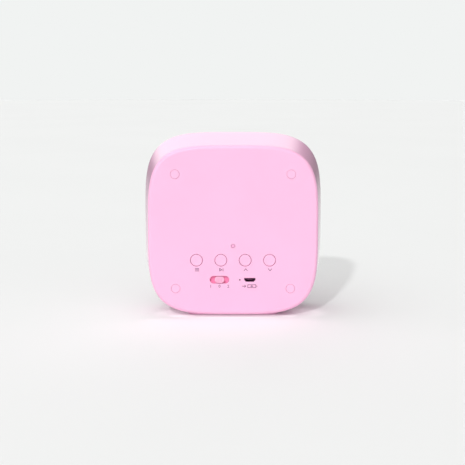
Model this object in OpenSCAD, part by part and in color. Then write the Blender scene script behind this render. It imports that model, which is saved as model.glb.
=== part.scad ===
// Squircle speaker with a rear control panel.
// X runs across the front, +Y points out of the rear panel, +Z is up.
// The origin lies on the table, under the middle of the body.

/* [Body] */
// Width and height of the housing at its widest ring
body_size = 118; // [116:1:142]
// Depth from the front lip to the rear face
body_depth = 46; // [45:1:56]
// Exponent of the squircle outline, where 2 is a circle
squareness = 4; // [3.5:0.1:5]
// Wall of the housing
wall = 2.4; // [2:0.1:3]
// Depth of the rounded front, from the lip to the widest ring
front_round = 14; // [10:0.1:16]
// How far the rounded front draws in at the lip, on each side
front_inset = 7; // [4:0.1:7.5]
// How far the body draws in from the widest ring to the rear joint, on each side
rear_taper = 3.9; // [2:0.1:5]
// How far the underside rises towards the rear joint
base_rise = 1; // [0:0.1:2]

/* [Rear cover] */
// Thickness of the cover plate
cover_t = 2.4; // [2:0.1:3]
// Depth of the cover's visible rim, in front of its face
cover_rim = 2.8; // [2.6:0.1:3.5]
// Radius of the rim's rounded edge
cover_round = 2.2; // [1:0.1:2.4]
// Visible line between the cover and the housing
joint_gap = 0.4; // [0.3:0.05:0.6]
// Wall of the spigot that locates the cover in the housing
spigot_t = 1.6; // [1.2:0.1:2]
// How far the spigot reaches into the housing
spigot_h = 2.8; // [2:0.1:4]
// Distance of the cover screws from the sides of the rear outline
screw_inset = 17.8; // [15:0.1:19]
// How far the screw pattern sits below the middle of the rear face
screw_drop = 0.5; // [0:0.1:2]

/* [Front] */
// How far the grille sits behind the front lip
grille_recess = 0.6; // [0:0.1:1.5]
// Thickness of the grille
grille_t = 1.8; // [1.4:0.1:2.4]
// Width of the flat lip round the grille
lip_w = 2; // [1.5:0.1:3]
// Width of the ledge that the grille rests on
ledge_w = 3.6; // [3:0.1:4.5]
// Diameter of one sound hole
sound_hole_d = 2.2; // [1.4:0.1:2.8]
// Distance between the rings of sound holes
sound_ring_pitch = 4.4; // [3.9:0.1:5]
// Number of rings of sound holes round the middle one
sound_rings = 7; // [4:1:8]

/* [Controls] */
// Diameter of a push button
button_d = 7.8; // [6:0.1:9.4]
// Distance between neighbouring buttons
button_pitch = 15.8; // [14:0.1:18]
// How far the button row sits below the middle of the rear face
button_drop = 19.1; // [17:0.1:21]
// How far a button can be pressed
button_travel = 0.4; // [0.2:0.05:0.5]
// Gap round a button
button_gap = 0.25; // [0.15:0.05:0.4]
// Distance of the switch slot from the middle of the body
slot_x = 8.8; // [7:0.1:10]
// Length of the switch slot
slot_l = 12.5; // [11:0.1:14]
// Height of the switch slot
slot_h = 5; // [4:0.1:6]
// Length of the switch knob along the slot
knob_l = 6.3; // [5:0.1:6.5]
// Travel of the switch to each side
switch_travel = 2.5; // [1.5:0.1:2.5]
// How far the switch and the socket sit below the middle of the rear face
port_drop = 32; // [31:0.1:33]
// Distance of the charging socket from the middle of the body
usb_x = 10.9; // [10.5:0.1:13]
// Distance of the charge light from the middle of the body
led_x = 4.4; // [4.4:0.1:5]
// How far the microphone hole sits below the middle of the rear face
mic_drop = 9.7; // [8.5:0.1:11]

/* [Driver] */
// Diameter of the driver's mounting flange
flange_d = 70; // [66:0.5:72]
// Depth of the basket, from the flange to the magnet
basket_depth = 13; // [12.5:0.5:14]
// Diameter of the magnet
magnet_d = 40; // [36:0.5:42]
// Thickness of the magnet
magnet_t = 6; // [5:0.5:6]
// Diameter of the voice coil's former
former_d = 15.4; // [14:0.1:18]
// Travel of the cone to each side
cone_travel = 1.5; // [0.5:0.1:1.5]

/* [Electronics] */
// Thickness of the circuit board
board_t = 1.2; // [1:0.1:1.6]
// Width of the circuit board
board_w = 62; // [60:0.5:64]
// Diameter of the battery cell
cell_d = 18.4; // [16:0.1:18.6]
// Length of the battery cell
cell_l = 50; // [40:0.5:52]

/* [Foot] */
// How far the foot stands out under the widest ring
foot_h = 1; // [0.6:0.1:2]
// Length of the foot across the body
foot_l = 60; // [40:1:64]
// Width of the foot from front to rear
foot_w = 26; // [20:1:30]

/* [Hidden] */
$fn = 64;

PINK = "#f9bfe0";
DEEP_PINK = "#f48fc0";
BOARD_GREEN = "#2f6b45";
STEEL = "#b9bcc2";
BLACK = "#26262a";
RUBBER = "#e9a9cd";

// Running and fitting clearances
slip = 0.1;
fit = 0.2;
eps = 0.01;
// The steps of a squircle ring, and of a rounded edge
ring_steps = 96;
edge_steps = 7;

// Stations from front to rear
y_front = -body_depth / 2;
y_rear = body_depth / 2;
y_widest = y_front + front_round;
y_rim = y_rear - cover_rim;
y_shell = y_rim - joint_gap;
y_plate = y_rear - cover_t;
y_grille = y_front + grille_recess;
y_ledge = y_grille + grille_t;
mesh_t = 0.3;
roll_h = 2;
front_spare = 0.5;
y_baffle = y_ledge + mesh_t + roll_h + cone_travel + front_spare;
baffle_t = 3;
y_cavity = y_baffle + baffle_t;

// Sizes of the rings, as half their width, and the heights of their centres
body_half = body_size / 2;
rear_half = body_half - rear_taper;
lip_half = body_half - front_inset;
grille_half = lip_half - lip_w;
pocket_half = grille_half - ledge_w;
z_front = foot_h + body_half;
z_rear = foot_h + base_rise + rear_half;

// Cover, spigot and gasket
gasket_t = 0.6;
gasket_w = 1.3;
step_half = rear_half - 1.3;
spigot_half = step_half - fit;
y_spigot = y_rim - spigot_h;
y_step = y_spigot - gasket_t;

// Cover screws and their posts
screw_x = rear_half - screw_inset;
screw_z = [for (side = [-1, 1]) z_rear - screw_drop + side * screw_x];
cap_d = 6;
cap_t = 1.3;
head_d = 5.4;
head_t = 2;
head_seat = 4.1;
shank_d = 2.9;
shank_l = 12;
post_d = 8;
boss_d = 7.5;
y_head = y_rear - head_seat;
y_post = y_plate - 6.6;
post_gap = 0.05;

// Battery, in its tray behind the baffle
cell_gap = 0.3;
tray_t = 1.2;
tray_rest = 1.4;
cell_y = y_cavity + tray_t + cell_gap + cell_d / 2;
cell_z = foot_h + wall + tray_rest + tray_t + cell_gap + cell_d / 2;
y_tray = cell_y + cell_d / 2 + cell_gap + tray_t;
tray_tab_x = 22;
tray_tab_w = 8;
tray_screw_z = cell_z + cell_d / 2 + 3.3;
tray_screw_d = 2;
tray_screw_l = 3.6;

// Height of the parts on the front of the board, in the gap between battery and magnet
deck_z = cell_z + cell_d / 2 + 7;

// Circuit board, hung on pillars from the cover
pillar_h = 5.6;
pillar_d = 5;
y_board = y_plate - pillar_h;
y_board_front = y_board - board_t;
board_top = z_rear - 4;
board_low = min(z_rear - 42, deck_z - 12);
board_screw_x = board_w / 2 - 3;
board_screw_z = [board_low + 3, board_top - 3];
board_screw_d = 1.8;
board_screw_l = 5;

// Buttons and what they press
button_z = z_rear - button_drop;
button_flange_d = button_d + 1.8;
button_flange_t = 1;
y_flange = y_plate - slip;
y_plunger = y_flange - button_flange_t;
tact_w = 6;
tact_h = 3.5;
plunger_d = 3.4;
plunger_l = 2.1;
button_mode_x = 1.5 * button_pitch;
button_play_x = 0.5 * button_pitch;
button_up_x = -0.5 * button_pitch;
button_down_x = -1.5 * button_pitch;

// Slide switch
port_z = z_rear - port_drop;
knob_plate_t = 0.9;
y_knob = y_plate - 0.3;
y_knob_plate = y_knob - knob_plate_t;
knob_h = slot_h - 2 * fit;
knob_plate_l = slot_l + 2 * switch_travel + 1.5;
knob_plate_h = slot_h + 2.4;
switch_body_l = 9.4;
switch_body_w = 3.8;
switch_body_h = 3.4;
lever_l = 1.8;
lever_w = 1.4;
y_lever = y_board + 1.8;

// Charging socket
usb_w = 7.3;
usb_h = 2.5;
usb_shell_t = 0.25;
usb_gap = 0.15;
y_usb = y_rear - 0.3;

// Charge light and microphone
pipe_d = 0.9;
pipe_collar_d = 1.8;
led_h = 0.8;
mic_z = z_rear - mic_drop;
mic_d = 4;
mic_h = 1.5;
mic_hole_d = 2.7;
boot_wall = 0.9;

// Driver, in front of and behind the baffle
flange_t = 1.2;
driver_gasket_t = 0.5;
flange_seat = flange_t + driver_gasket_t;
y_flange_rear = y_baffle + flange_t;
basket_r = flange_d / 2 - 6.5;
baffle_hole_d = 2 * basket_r + 1.4;
surround_out_r = basket_r - 0.5;
surround_in_r = surround_out_r - 5;
y_top_plate = y_baffle + basket_depth;
top_plate_t = 3;
yoke_t = 2.5;
y_magnet = y_top_plate + top_plate_t;
y_yoke = y_magnet + magnet_t;
y_driver_end = y_yoke + yoke_t;
plate_d = magnet_d - 2;
basket_sheet = 1.2;
basket_rear_r = magnet_d / 2 + 2.5;
former_t = 0.4;
winding_t = 0.5;
pole_d = former_d - 2 * former_t - 0.6;
gap_d = former_d + 2 * winding_t + 1;
y_neck = y_baffle + 6.3;
y_spider = y_baffle + 8.3;
spider_r = magnet_d / 2 - 0.5;
sheet = 0.4;
cone_t = 0.6;
winding_h = 4;
driver_screw_r = flange_d / 2 - 3;
driver_screw_d = 2.4;
driver_screw_l = 7;
driver_boss_d = 5.5;

// Plugs and their leads
plug_w = 7;
plug_h = 5;
plug_t = 4.5;
battery_plug_x = 20;
speaker_plug_x = -21;
speaker_plug_z = z_front - 10;
lead_d = 1.2;
lead_pitch = 2.4;

// Driver details
driver_boss_l = 4;
surround_land = 2;
surround_lap = 1.4;
lap_gap = 0;
neck_r = former_d / 2 + 0.05;
cap_r = 18;
dome_r = 9;
dome_h = cap_r - sqrt(pow(cap_r, 2) - pow(dome_r, 2));
y_cap = y_neck - dome_h - 0.6;
y_winding = y_top_plate + top_plate_t / 2 - winding_h / 2;
basket_hole_r = gap_d / 2 + 2;
shelf_w = 2.5;
spider_wave = 0.8;
terminal_t = 1;
y_terminal = y_top_plate + terminal_t;
mesh_r = (sound_rings + 0.7) * sound_ring_pitch + 2;
cap_gap = 0.1;
lead_touch = 0.05;
web_l = 20;
web_t = 2;
web_drop = 0.8;
fork_t = 0.8;
y_fork = y_board + switch_body_h + 0.3;

// Foot
foot_seat_z = foot_h + 1.2;
foot_r = 5;
foot_y = 1;
foot_fit = 0.15;

peg_d = 2.4;
peg_l = 3;

// ---------------------------------------------------------------- helpers

function squircle_point(half, angle) =
  let (r = half / pow(pow(abs(cos(angle)), squareness) + pow(abs(sin(angle)), squareness), 1 / squareness))
  [r * cos(angle), r * sin(angle)];

function squircle(half) = [for (i = [0:ring_steps - 1]) squircle_point(half, 360 * i / ring_steps)];

// A point on a diagonal of a squircle, as its distance along X and along Z
function diagonal(half) = squircle_point(half, 45)[0];

// A solid through squircle rings, each given as [half size, y, height of its centre]
module loft(stations) {
  n = ring_steps;
  last = len(stations) - 1;
  points = [for (s = stations) for (p = squircle(s[0])) [p[0], s[1], s[2] + p[1]]];
  sides = [
    for (k = [0:last - 1]) for (i = [0:n - 1])
      let (a = k * n + i, b = k * n + (i + 1) % n) each [[a, b, b + n], [a, b + n, a + n]]
  ];
  polyhedron(points, concat([[for (i = [n - 1:-1:0]) i]], sides, [[for (i = [0:n - 1]) last * n + i]]));
}

// A shape drawn in X and Z, extruded from y0 to y1
module slab(y0, y1) {
  translate([0, y1, 0]) rotate([90, 0, 0]) linear_extrude(y1 - y0) children();
}

module squircle_slab(half, y0, y1, z) {
  slab(y0, y1) translate([0, z]) polygon(squircle(half));
}

// A round bar along Y
module rod(x, z, d, y0, y1) {
  translate([x, y0, z]) rotate([-90, 0, 0]) cylinder(d = d, h = y1 - y0);
}

module box(x, y0, y1, z, w, h) {
  translate([x - w / 2, y0, z - h / 2]) cube([w, y1 - y0, h]);
}

module stadium(l, h) {
  square([l - h, h], center = true);
  for (side = [-1, 1]) translate([side * (l - h) / 2, 0]) circle(d = h);
}

module rounded_rect(l, w, r) {
  square([l - 2 * r, w], center = true);
  square([l, w - 2 * r], center = true);
  for (sx = [-1, 1], sy = [-1, 1]) translate([sx * (l / 2 - r), sy * (w / 2 - r)]) circle(r);
}

// A shape drawn as radius and y, turned about the driver's axis
module turned() {
  translate([0, 0, z_front]) rotate([-90, 0, 0]) rotate_extrude() children();
}

// The four places of a square pattern
module at_cover_screws() {
  for (x = [-screw_x, screw_x], z = screw_z) translate([x, 0, z]) children();
}

module at_driver_screws() {
  for (angle = [45:90:315])
    translate([driver_screw_r * cos(angle), 0, z_front + driver_screw_r * sin(angle)]) children();
}

module at_board_screws() {
  for (x = [-board_screw_x, board_screw_x], z = board_screw_z) translate([x, 0, z]) children();
}

module at_grille_pegs() {
  d = (diagonal(grille_half) + diagonal(pocket_half)) / 2;
  for (sx = [-1, 1], sz = [-1, 1]) translate([sx * d, 0, z_front + sz * d]) children();
}

// ---------------------------------------------------------------- body

// The rounded front, as rings from the lip to the widest one
function front_stations() = [
  for (i = [0:edge_steps])
    [lip_half + front_inset * sin(90 * i / edge_steps),
     y_front + front_round * (1 - cos(90 * i / edge_steps)), z_front]
];

// The cover's rounded rim, as rings from the joint to the rear face
function cover_stations() = concat(
  [[rear_half, y_rim, z_rear]],
  [for (i = [0:edge_steps])
    [rear_half - cover_round * (1 - cos(90 * i / edge_steps)),
     y_rear - cover_round * (1 - sin(90 * i / edge_steps)), z_rear]]
);

// Webs that tie the screw bosses to the corners of the housing
module corner_webs() {
  intersection() {
    for (x = [-1, 1], z = [-1, 1])
      translate([x * screw_x, 0, z_rear - screw_drop + z * screw_x]) rotate([0, -x * z * 45, 0])
        box(x * web_l / 2, y_cavity - eps, y_post - post_gap - web_drop, 0, web_l, web_t);
    loft([[body_half - wall / 2, y_cavity - 1, z_front], [body_half - wall / 2, y_widest, z_front],
          [rear_half - wall / 2, y_shell, z_rear]]);
  }
}

module housing() {
  color(PINK) difference() {
    union() {
      difference() {
        loft(concat(front_stations(), [[rear_half, y_shell, z_rear]]));
        loft([[body_half - wall, y_cavity, z_front], [body_half - wall, y_widest, z_front],
              [rear_half - wall, y_shell + 1, z_rear]]);
        squircle_slab(step_half, y_step, y_shell + 2, z_rear);
        squircle_slab(grille_half, y_front - 1, y_ledge, z_front);
        squircle_slab(pocket_half, y_ledge - 1, y_baffle, z_front);
      }
      at_cover_screws() rod(0, 0, boss_d, y_cavity - 1, y_post - post_gap);
      at_driver_screws() rod(0, 0, driver_boss_d, y_cavity - 1, y_cavity + driver_boss_l);
      corner_webs();
    }
    rod(0, z_front, flange_d + 2 * fit, y_baffle - 1, y_baffle + flange_seat);
    rod(0, z_front, baffle_hole_d, y_baffle, y_cavity + 1);
    at_driver_screws() rod(0, 0, driver_screw_d + slip, y_baffle, y_cavity + driver_boss_l + 1);
    at_cover_screws() rod(0, 0, shank_d + slip, y_head - shank_l - 0.5, y_post + 1);
    at_grille_pegs() rod(0, 0, peg_d + slip, y_ledge - 1, y_ledge + peg_l + fit);
    at_tray_screws() rod(0, 0, tray_screw_d + slip, y_cavity - tray_screw_l + tray_t - fit, y_cavity + 1);
    foot_block(foot_h / 2, foot_seat_z, foot_fit);
  }
}

module foot_block(z0, z1, grow) {
  translate([0, foot_y, z0]) linear_extrude(z1 - z0)
    rounded_rect(foot_l + 2 * grow, foot_w + 2 * grow, foot_r);
}

module foot_pad() {
  color(RUBBER) foot_block(0, foot_seat_z, 0);
}

module front_grille() {
  color(PINK) {
    slab(y_grille, y_ledge) translate([0, z_front]) difference() {
      polygon(squircle(grille_half - fit));
      circle(d = sound_hole_d);
      for (ring = [1:sound_rings], i = [0:6 * ring - 1])
        rotate(i * 60 / ring) translate([ring * sound_ring_pitch, 0]) circle(d = sound_hole_d);
    }
    at_grille_pegs() rod(0, 0, peg_d, y_ledge - grille_t / 2, y_ledge + peg_l);
  }
}

module acoustic_mesh() {
  color(BLACK) rod(0, z_front, 2 * mesh_r, y_ledge, y_ledge + mesh_t);
}

// ---------------------------------------------------------------- rear cover

module at_buttons() {
  for (i = [-1.5, -0.5, 0.5, 1.5]) translate([i * button_pitch, 0, button_z]) children();
}

// Outline of the charging plug's opening, wide side up
module usb_outline(grow) {
  w = usb_w / 2 + grow;
  h = usb_h / 2 + grow;
  polygon([[-w, h], [w, h], [w, -0.1 * h], [w - 1.1, -h], [1.1 - w, -h], [-w, -0.1 * h]]);
}

module rear_cover() {
  color(PINK) difference() {
    union() {
      difference() {
        union() {
          loft(cover_stations());
          squircle_slab(spigot_half, y_spigot, y_rim + 0.2, z_rear);
        }
        squircle_slab(spigot_half - spigot_t, y_spigot - 1, y_plate, z_rear);
      }
      at_cover_screws() rod(0, 0, post_d, y_post, y_plate + 0.5);
      at_board_screws() rod(0, 0, pillar_d, y_board, y_plate + 0.5);
    }
    at_cover_screws() {
      rod(0, 0, cap_d + 2 * cap_gap, y_head, y_rear + 1);
      rod(0, 0, shank_d + 2 * fit, y_post - 1, y_head + 1);
    }
    at_board_screws() rod(0, 0, board_screw_d + slip, y_board - 1, y_board + board_screw_l - board_t + fit);
    at_buttons() rod(0, 0, button_d + 2 * button_gap, y_plate - 1, y_rear + 1);
    slab(y_plate - 1, y_rear + 1) translate([slot_x, port_z]) stadium(slot_l, slot_h);
    slab(y_plate - 1, y_rear + 1) translate([-usb_x, port_z]) usb_outline(usb_gap);
    rod(-led_x, port_z, pipe_d + slip, y_plate - 1, y_rear + 1);
    rod(0, mic_z, mic_hole_d, y_plate - 1, y_rear + 1);
  }
}

module cover_gasket() {
  color(BLACK) slab(y_step, y_spigot) translate([0, z_rear]) difference() {
    polygon(squircle(spigot_half));
    polygon(squircle(spigot_half - gasket_w));
  }
}

module cover_screws() {
  color(STEEL) at_cover_screws() difference() {
    union() {
      rod(0, 0, head_d, y_head, y_head + head_t);
      rod(0, 0, shank_d, y_head - shank_l, y_head + head_t / 2);
    }
    rod(0, 0, 1.6, y_head + head_t - 1.1, y_head + head_t + 1);
  }
}

module screw_caps() {
  color(PINK) at_cover_screws() rod(0, 0, cap_d, y_rear - cap_t, y_rear);
}

// ---------------------------------------------------------------- controls

module button(x) {
  color(PINK) {
    rod(x, button_z, button_d, y_flange - button_flange_t / 2, y_rear);
    rod(x, button_z, button_flange_d, y_plunger, y_flange);
  }
}

module button_mode() { button(button_mode_x); }
module button_play() { button(button_play_x); }
module button_up() { button(button_up_x); }
module button_down() { button(button_down_x); }

module tact_plunger(x) {
  color(BLACK) rod(x, button_z, plunger_d, y_plunger - plunger_l, y_plunger);
}

module tact_plunger_mode() { tact_plunger(button_mode_x); }
module tact_plunger_play() { tact_plunger(button_play_x); }
module tact_plunger_up() { tact_plunger(button_up_x); }
module tact_plunger_down() { tact_plunger(button_down_x); }

module tact_switch_bodies() {
  color(STEEL) at_buttons() difference() {
    box(0, y_board, y_board + tact_h, 0, tact_w, tact_w);
    rod(0, 0, plunger_d + slip, y_plunger - plunger_l - button_travel - fit, y_board + tact_h + 1);
  }
}

module slide_knob() {
  color(PINK) {
    slab(y_knob - knob_plate_t / 2, y_rear) translate([slot_x, port_z])
      rounded_rect(knob_l, knob_h, 1.6);
    slab(y_knob_plate, y_knob) translate([slot_x, port_z])
      rounded_rect(knob_plate_l, knob_plate_h, 1.2);
    for (side = [-1, 1])
      box(slot_x + side * (lever_l / 2 + fork_t / 2 + slip), y_fork, y_knob_plate + knob_plate_t / 2, port_z,
          fork_t, lever_w);
  }
}

module slide_switch_lever() {
  color(BLACK) box(slot_x, y_lever, y_knob_plate, port_z, lever_l, lever_w);
}

module slide_switch_body() {
  color(STEEL) difference() {
    box(slot_x, y_board, y_board + switch_body_h, port_z, switch_body_l, switch_body_w);
    box(slot_x, y_lever - fit, y_board + switch_body_h + 1, port_z, lever_l + 2 * switch_travel + 2 * fit,
        lever_w + 2 * slip);
  }
}

module usb_socket() {
  color(STEEL) difference() {
    slab(y_board, y_usb) translate([-usb_x, port_z]) usb_outline(0);
    slab(y_board + 1, y_usb + 1) translate([-usb_x, port_z]) usb_outline(-usb_shell_t);
  }
}

module usb_tongue() {
  color(BLACK) box(-usb_x, y_board + 1, y_usb - 0.8, port_z + 0.35, 3.7, 0.7);
}

module charge_led() {
  color("white") box(-led_x, y_board, y_board + led_h, port_z, 1.2, 0.8);
}

module charge_light_pipe() {
  color("lightgray") {
    rod(-led_x, port_z, pipe_collar_d, y_board + led_h + fit, y_plate);
    rod(-led_x, port_z, pipe_d, y_plate - 1, y_rear);
  }
}

module microphone() {
  color(STEEL) rod(0, mic_z, mic_d, y_board, y_board + mic_h);
}

module mic_boot() {
  color(RUBBER) difference() {
    rod(0, mic_z, mic_d + 2 * boot_wall, y_board, y_plate);
    rod(0, mic_z, mic_d, y_board - 1, y_board + mic_h);
    rod(0, mic_z, mic_hole_d, y_board, y_plate + 1);
  }
}

// ---------------------------------------------------------------- electronics

module main_board() {
  color(BOARD_GREEN) difference() {
    box(0, y_board_front, y_board, (board_low + board_top) / 2, board_w, board_top - board_low);
    at_board_screws() rod(0, 0, board_screw_d + 2 * slip, y_board_front - 1, y_board + 1);
  }
}

module board_screws() {
  color(STEEL) at_board_screws() {
    rod(0, 0, board_screw_d, y_board_front - 0.5, y_board_front + board_screw_l);
    rod(0, 0, 3.6, y_board_front - 1.2, y_board_front);
  }
}

// A part on the front of the board
module board_box(x, z, w, h, t) {
  box(x, y_board_front - t, y_board_front, z, w, h);
}

module radio_module() {
  color(STEEL) board_box(9, board_top - 8, 13, 10, 2.2);
}

module amplifier_chip() {
  color(BLACK) board_box(-7, board_top - 8, 7, 7, 1);
}

module filter_capacitors() {
  color(STEEL) for (z = [deck_z - 8, deck_z])
    rod(-20, z, 5, y_board_front - 4.4, y_board_front);
}

module power_inductor() {
  color(BLACK) board_box(-6, deck_z - 2, 6, 6, 3);
}

module plug(x, z) {
  color("ivory") board_box(x, z, plug_w, plug_h, plug_t);
}

module battery_connector() { plug(battery_plug_x, deck_z); }
module speaker_connector() { plug(speaker_plug_x, speaker_plug_z); }

// ---------------------------------------------------------------- battery

module along_x(y, z, d, l) {
  translate([-l / 2, y, z]) rotate([0, 90, 0]) cylinder(d = d, h = l);
}

module battery_cell() {
  color("mediumpurple") along_x(cell_y, cell_z, cell_d, cell_l);
}

module at_tray_screws() {
  for (x = [-tray_tab_x, tray_tab_x]) translate([x, 0, tray_screw_z]) children();
}

module battery_tray() {
  bore = cell_d + 2 * cell_gap;
  hollow_l = cell_l + 2 * cell_gap;
  low = cell_z - bore / 2 - tray_t;
  high = cell_z + 3;
  color(BLACK) difference() {
    union() {
      box(0, y_cavity, y_tray, (low + high) / 2, hollow_l + 2 * tray_t, high - low);
      for (x = [-tray_tab_x, tray_tab_x])
        box(x, y_cavity, y_cavity + tray_t, (low + tray_screw_z + 3.5) / 2, tray_tab_w, tray_screw_z + 3.5 - low);
    }
    along_x(cell_y, cell_z, bore, hollow_l);
    box(0, cell_y - bore / 2, cell_y + bore / 2, cell_z + bore, hollow_l, 2 * bore);
    at_tray_screws() rod(0, 0, tray_screw_d + 2 * slip, y_cavity - 1, y_cavity + tray_t + 1);
  }
}

module tray_screws() {
  color(STEEL) at_tray_screws() {
    rod(0, 0, tray_screw_d, y_cavity + tray_t - tray_screw_l, y_cavity + tray_t + 0.5);
    rod(0, 0, 4, y_cavity + tray_t, y_cavity + tray_t + 1.2);
  }
}

module battery_leads() {
  for (side = [-0.5, 0.5]) color(side < 0 ? BLACK : "firebrick") {
    x = battery_plug_x + side * lead_pitch;
    translate([x, cell_y, cell_z + cell_d / 2 + lead_touch])
      cylinder(d = lead_d, h = deck_z - cell_z - cell_d / 2 - lead_touch);
    translate([x, cell_y, deck_z]) sphere(d = lead_d);
    rod(x, deck_z, lead_d, cell_y, y_board_front - plug_t - lead_touch);
  }
}

module speaker_leads() {
  for (side = [-0.5, 0.5]) color(side < 0 ? BLACK : "firebrick")
    rod(speaker_plug_x + side * lead_pitch, speaker_plug_z, lead_d, y_terminal + lead_touch,
        y_board_front - plug_t - lead_touch);
}

// ---------------------------------------------------------------- driver

module driver_gasket() {
  color(BLACK) difference() {
    rod(0, z_front, flange_d, y_flange_rear, y_flange_rear + driver_gasket_t);
    rod(0, z_front, baffle_hole_d, y_flange_rear - 1, y_flange_rear + 1);
    at_driver_screws() rod(0, 0, driver_screw_d + 2 * fit, y_flange_rear - 1, y_flange_rear + 1);
  }
}

module driver_basket() {
  color(BLACK) difference() {
    turned() polygon([
      [flange_d / 2, y_baffle], [flange_d / 2, y_flange_rear], [basket_r, y_flange_rear],
      [basket_rear_r, y_top_plate], [basket_hole_r, y_top_plate], [basket_hole_r, y_top_plate - basket_sheet],
      [spider_r - shelf_w, y_top_plate - basket_sheet], [spider_r - shelf_w, y_spider + sheet],
      [spider_r, y_spider + sheet], [spider_r, y_top_plate - basket_sheet],
      [basket_rear_r - basket_sheet, y_top_plate - basket_sheet], [basket_r - basket_sheet, y_flange_rear],
      [basket_r - basket_sheet, y_baffle]
    ]);
    at_driver_screws() rod(0, 0, driver_screw_d + 2 * fit, y_baffle - 1, y_flange_rear + 1);
    for (angle = [0:60:300]) translate([0, 0, z_front]) rotate([0, angle, 0])
      box(basket_r - 2, y_baffle + 3.5, y_top_plate - 2.5, 0, 12, 13);
  }
}

module driver_screws() {
  color(STEEL) at_driver_screws() {
    rod(0, 0, driver_screw_d, y_baffle - 0.5, y_baffle - 0.5 + driver_screw_l);
    rod(0, 0, 4.2, y_baffle - 1.4, y_baffle);
  }
}

module driver_surround() {
  out = surround_out_r;
  in = surround_in_r;
  mid = (out + in) / 2;
  roll = (out - in) / 2;
  color(BLACK) turned() {
    translate([out - sheet, y_baffle - sheet]) square([surround_land + sheet, sheet]);
    translate([in - surround_lap, y_baffle - sheet]) square([surround_lap + sheet, sheet]);
    intersection() {
      translate([mid, y_baffle]) difference() {
        scale([roll, roll_h]) circle(1);
        scale([roll - sheet, roll_h - sheet]) circle(1);
      }
      translate([in, y_baffle - roll_h]) square([2 * roll, roll_h]);
    }
  }
}

module driver_cone() {
  color("dimgray") turned() polygon([
    [surround_in_r, y_baffle + lap_gap], [surround_in_r, y_baffle + lap_gap + cone_t],
    [surround_in_r - 1.2, y_baffle + lap_gap + cone_t], [neck_r, y_neck + cone_t],
    [neck_r, y_neck], [surround_in_r - 1.6, y_baffle + lap_gap]
  ]);
}

module driver_dust_cap() {
  color(BLACK) turned() intersection() {
    translate([0, y_cap + cap_r]) difference() {
      circle(cap_r);
      circle(cap_r - cone_t);
    }
    translate([0, y_cap - 1]) square([dome_r, dome_h + 1]);
  }
}

module coil_former() {
  color("burlywood") turned()
    translate([former_d / 2 - former_t, y_neck]) square([former_t, y_winding + winding_h - y_neck]);
}

module coil_winding() {
  color("chocolate") turned()
    translate([former_d / 2 + slip / 2, y_winding]) square([winding_t, winding_h]);
}

module driver_spider() {
  r0 = former_d / 2 + slip;
  waves = 4;
  step = (spider_r - shelf_w - r0) / waves / 2;
  color("goldenrod") turned() {
    translate([spider_r - shelf_w, y_spider]) square([shelf_w, sheet]);
    for (i = [0:waves - 1]) polygon([
      [r0 + 2 * i * step, y_spider], [r0 + (2 * i + 1) * step, y_spider - spider_wave],
      [r0 + (2 * i + 2) * step, y_spider], [r0 + (2 * i + 2) * step, y_spider + sheet],
      [r0 + (2 * i + 1) * step, y_spider - spider_wave + sheet], [r0 + 2 * i * step, y_spider + sheet]
    ]);
  }
}

module driver_top_plate() {
  color(STEEL) difference() {
    rod(0, z_front, plate_d, y_top_plate, y_magnet);
    rod(0, z_front, gap_d, y_top_plate - 1, y_magnet + 1);
  }
}

module driver_magnet() {
  color(BLACK) difference() {
    rod(0, z_front, magnet_d, y_magnet, y_yoke);
    rod(0, z_front, gap_d + 3, y_magnet - 1, y_yoke + 1);
  }
}

module driver_yoke() {
  color(STEEL) {
    rod(0, z_front, plate_d, y_yoke, y_driver_end);
    rod(0, z_front, pole_d, y_top_plate, y_yoke + yoke_t / 2);
  }
}

module driver_terminals() {
  inner = sqrt(pow(plate_d / 2, 2) - pow(z_front - speaker_plug_z - plug_h / 2, 2)) + 0.5;
  outer = -speaker_plug_x + plug_w / 2;
  color("peru") box(-(inner + outer) / 2, y_top_plate, y_terminal, speaker_plug_z, outer - inner, plug_h);
}

housing();
front_grille();
acoustic_mesh();
foot_pad();
rear_cover();
cover_gasket();
cover_screws();
screw_caps();
button_mode();
button_play();
button_up();
button_down();
tact_plunger_mode();
tact_plunger_play();
tact_plunger_up();
tact_plunger_down();
tact_switch_bodies();
slide_knob();
slide_switch_lever();
slide_switch_body();
usb_socket();
usb_tongue();
charge_led();
charge_light_pipe();
microphone();
mic_boot();
main_board();
board_screws();
radio_module();
amplifier_chip();
filter_capacitors();
power_inductor();
battery_connector();
speaker_connector();
battery_cell();
battery_tray();
tray_screws();
battery_leads();
speaker_leads();
driver_gasket();
driver_basket();
driver_screws();
driver_surround();
driver_cone();
driver_dust_cap();
coil_former();
coil_winding();
driver_spider();
driver_top_plate();
driver_magnet();
driver_yoke();
driver_terminals();
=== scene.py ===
# %% [markdown]
# # A squircle speaker, seen from its control panel
# The speaker is a pastel pink box with a "squircle" outline: a square whose sides and corners
# flow into one another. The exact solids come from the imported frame. Here the pieces that show
# are modelled again with soft edges, and every piece gets its finish.

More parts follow.
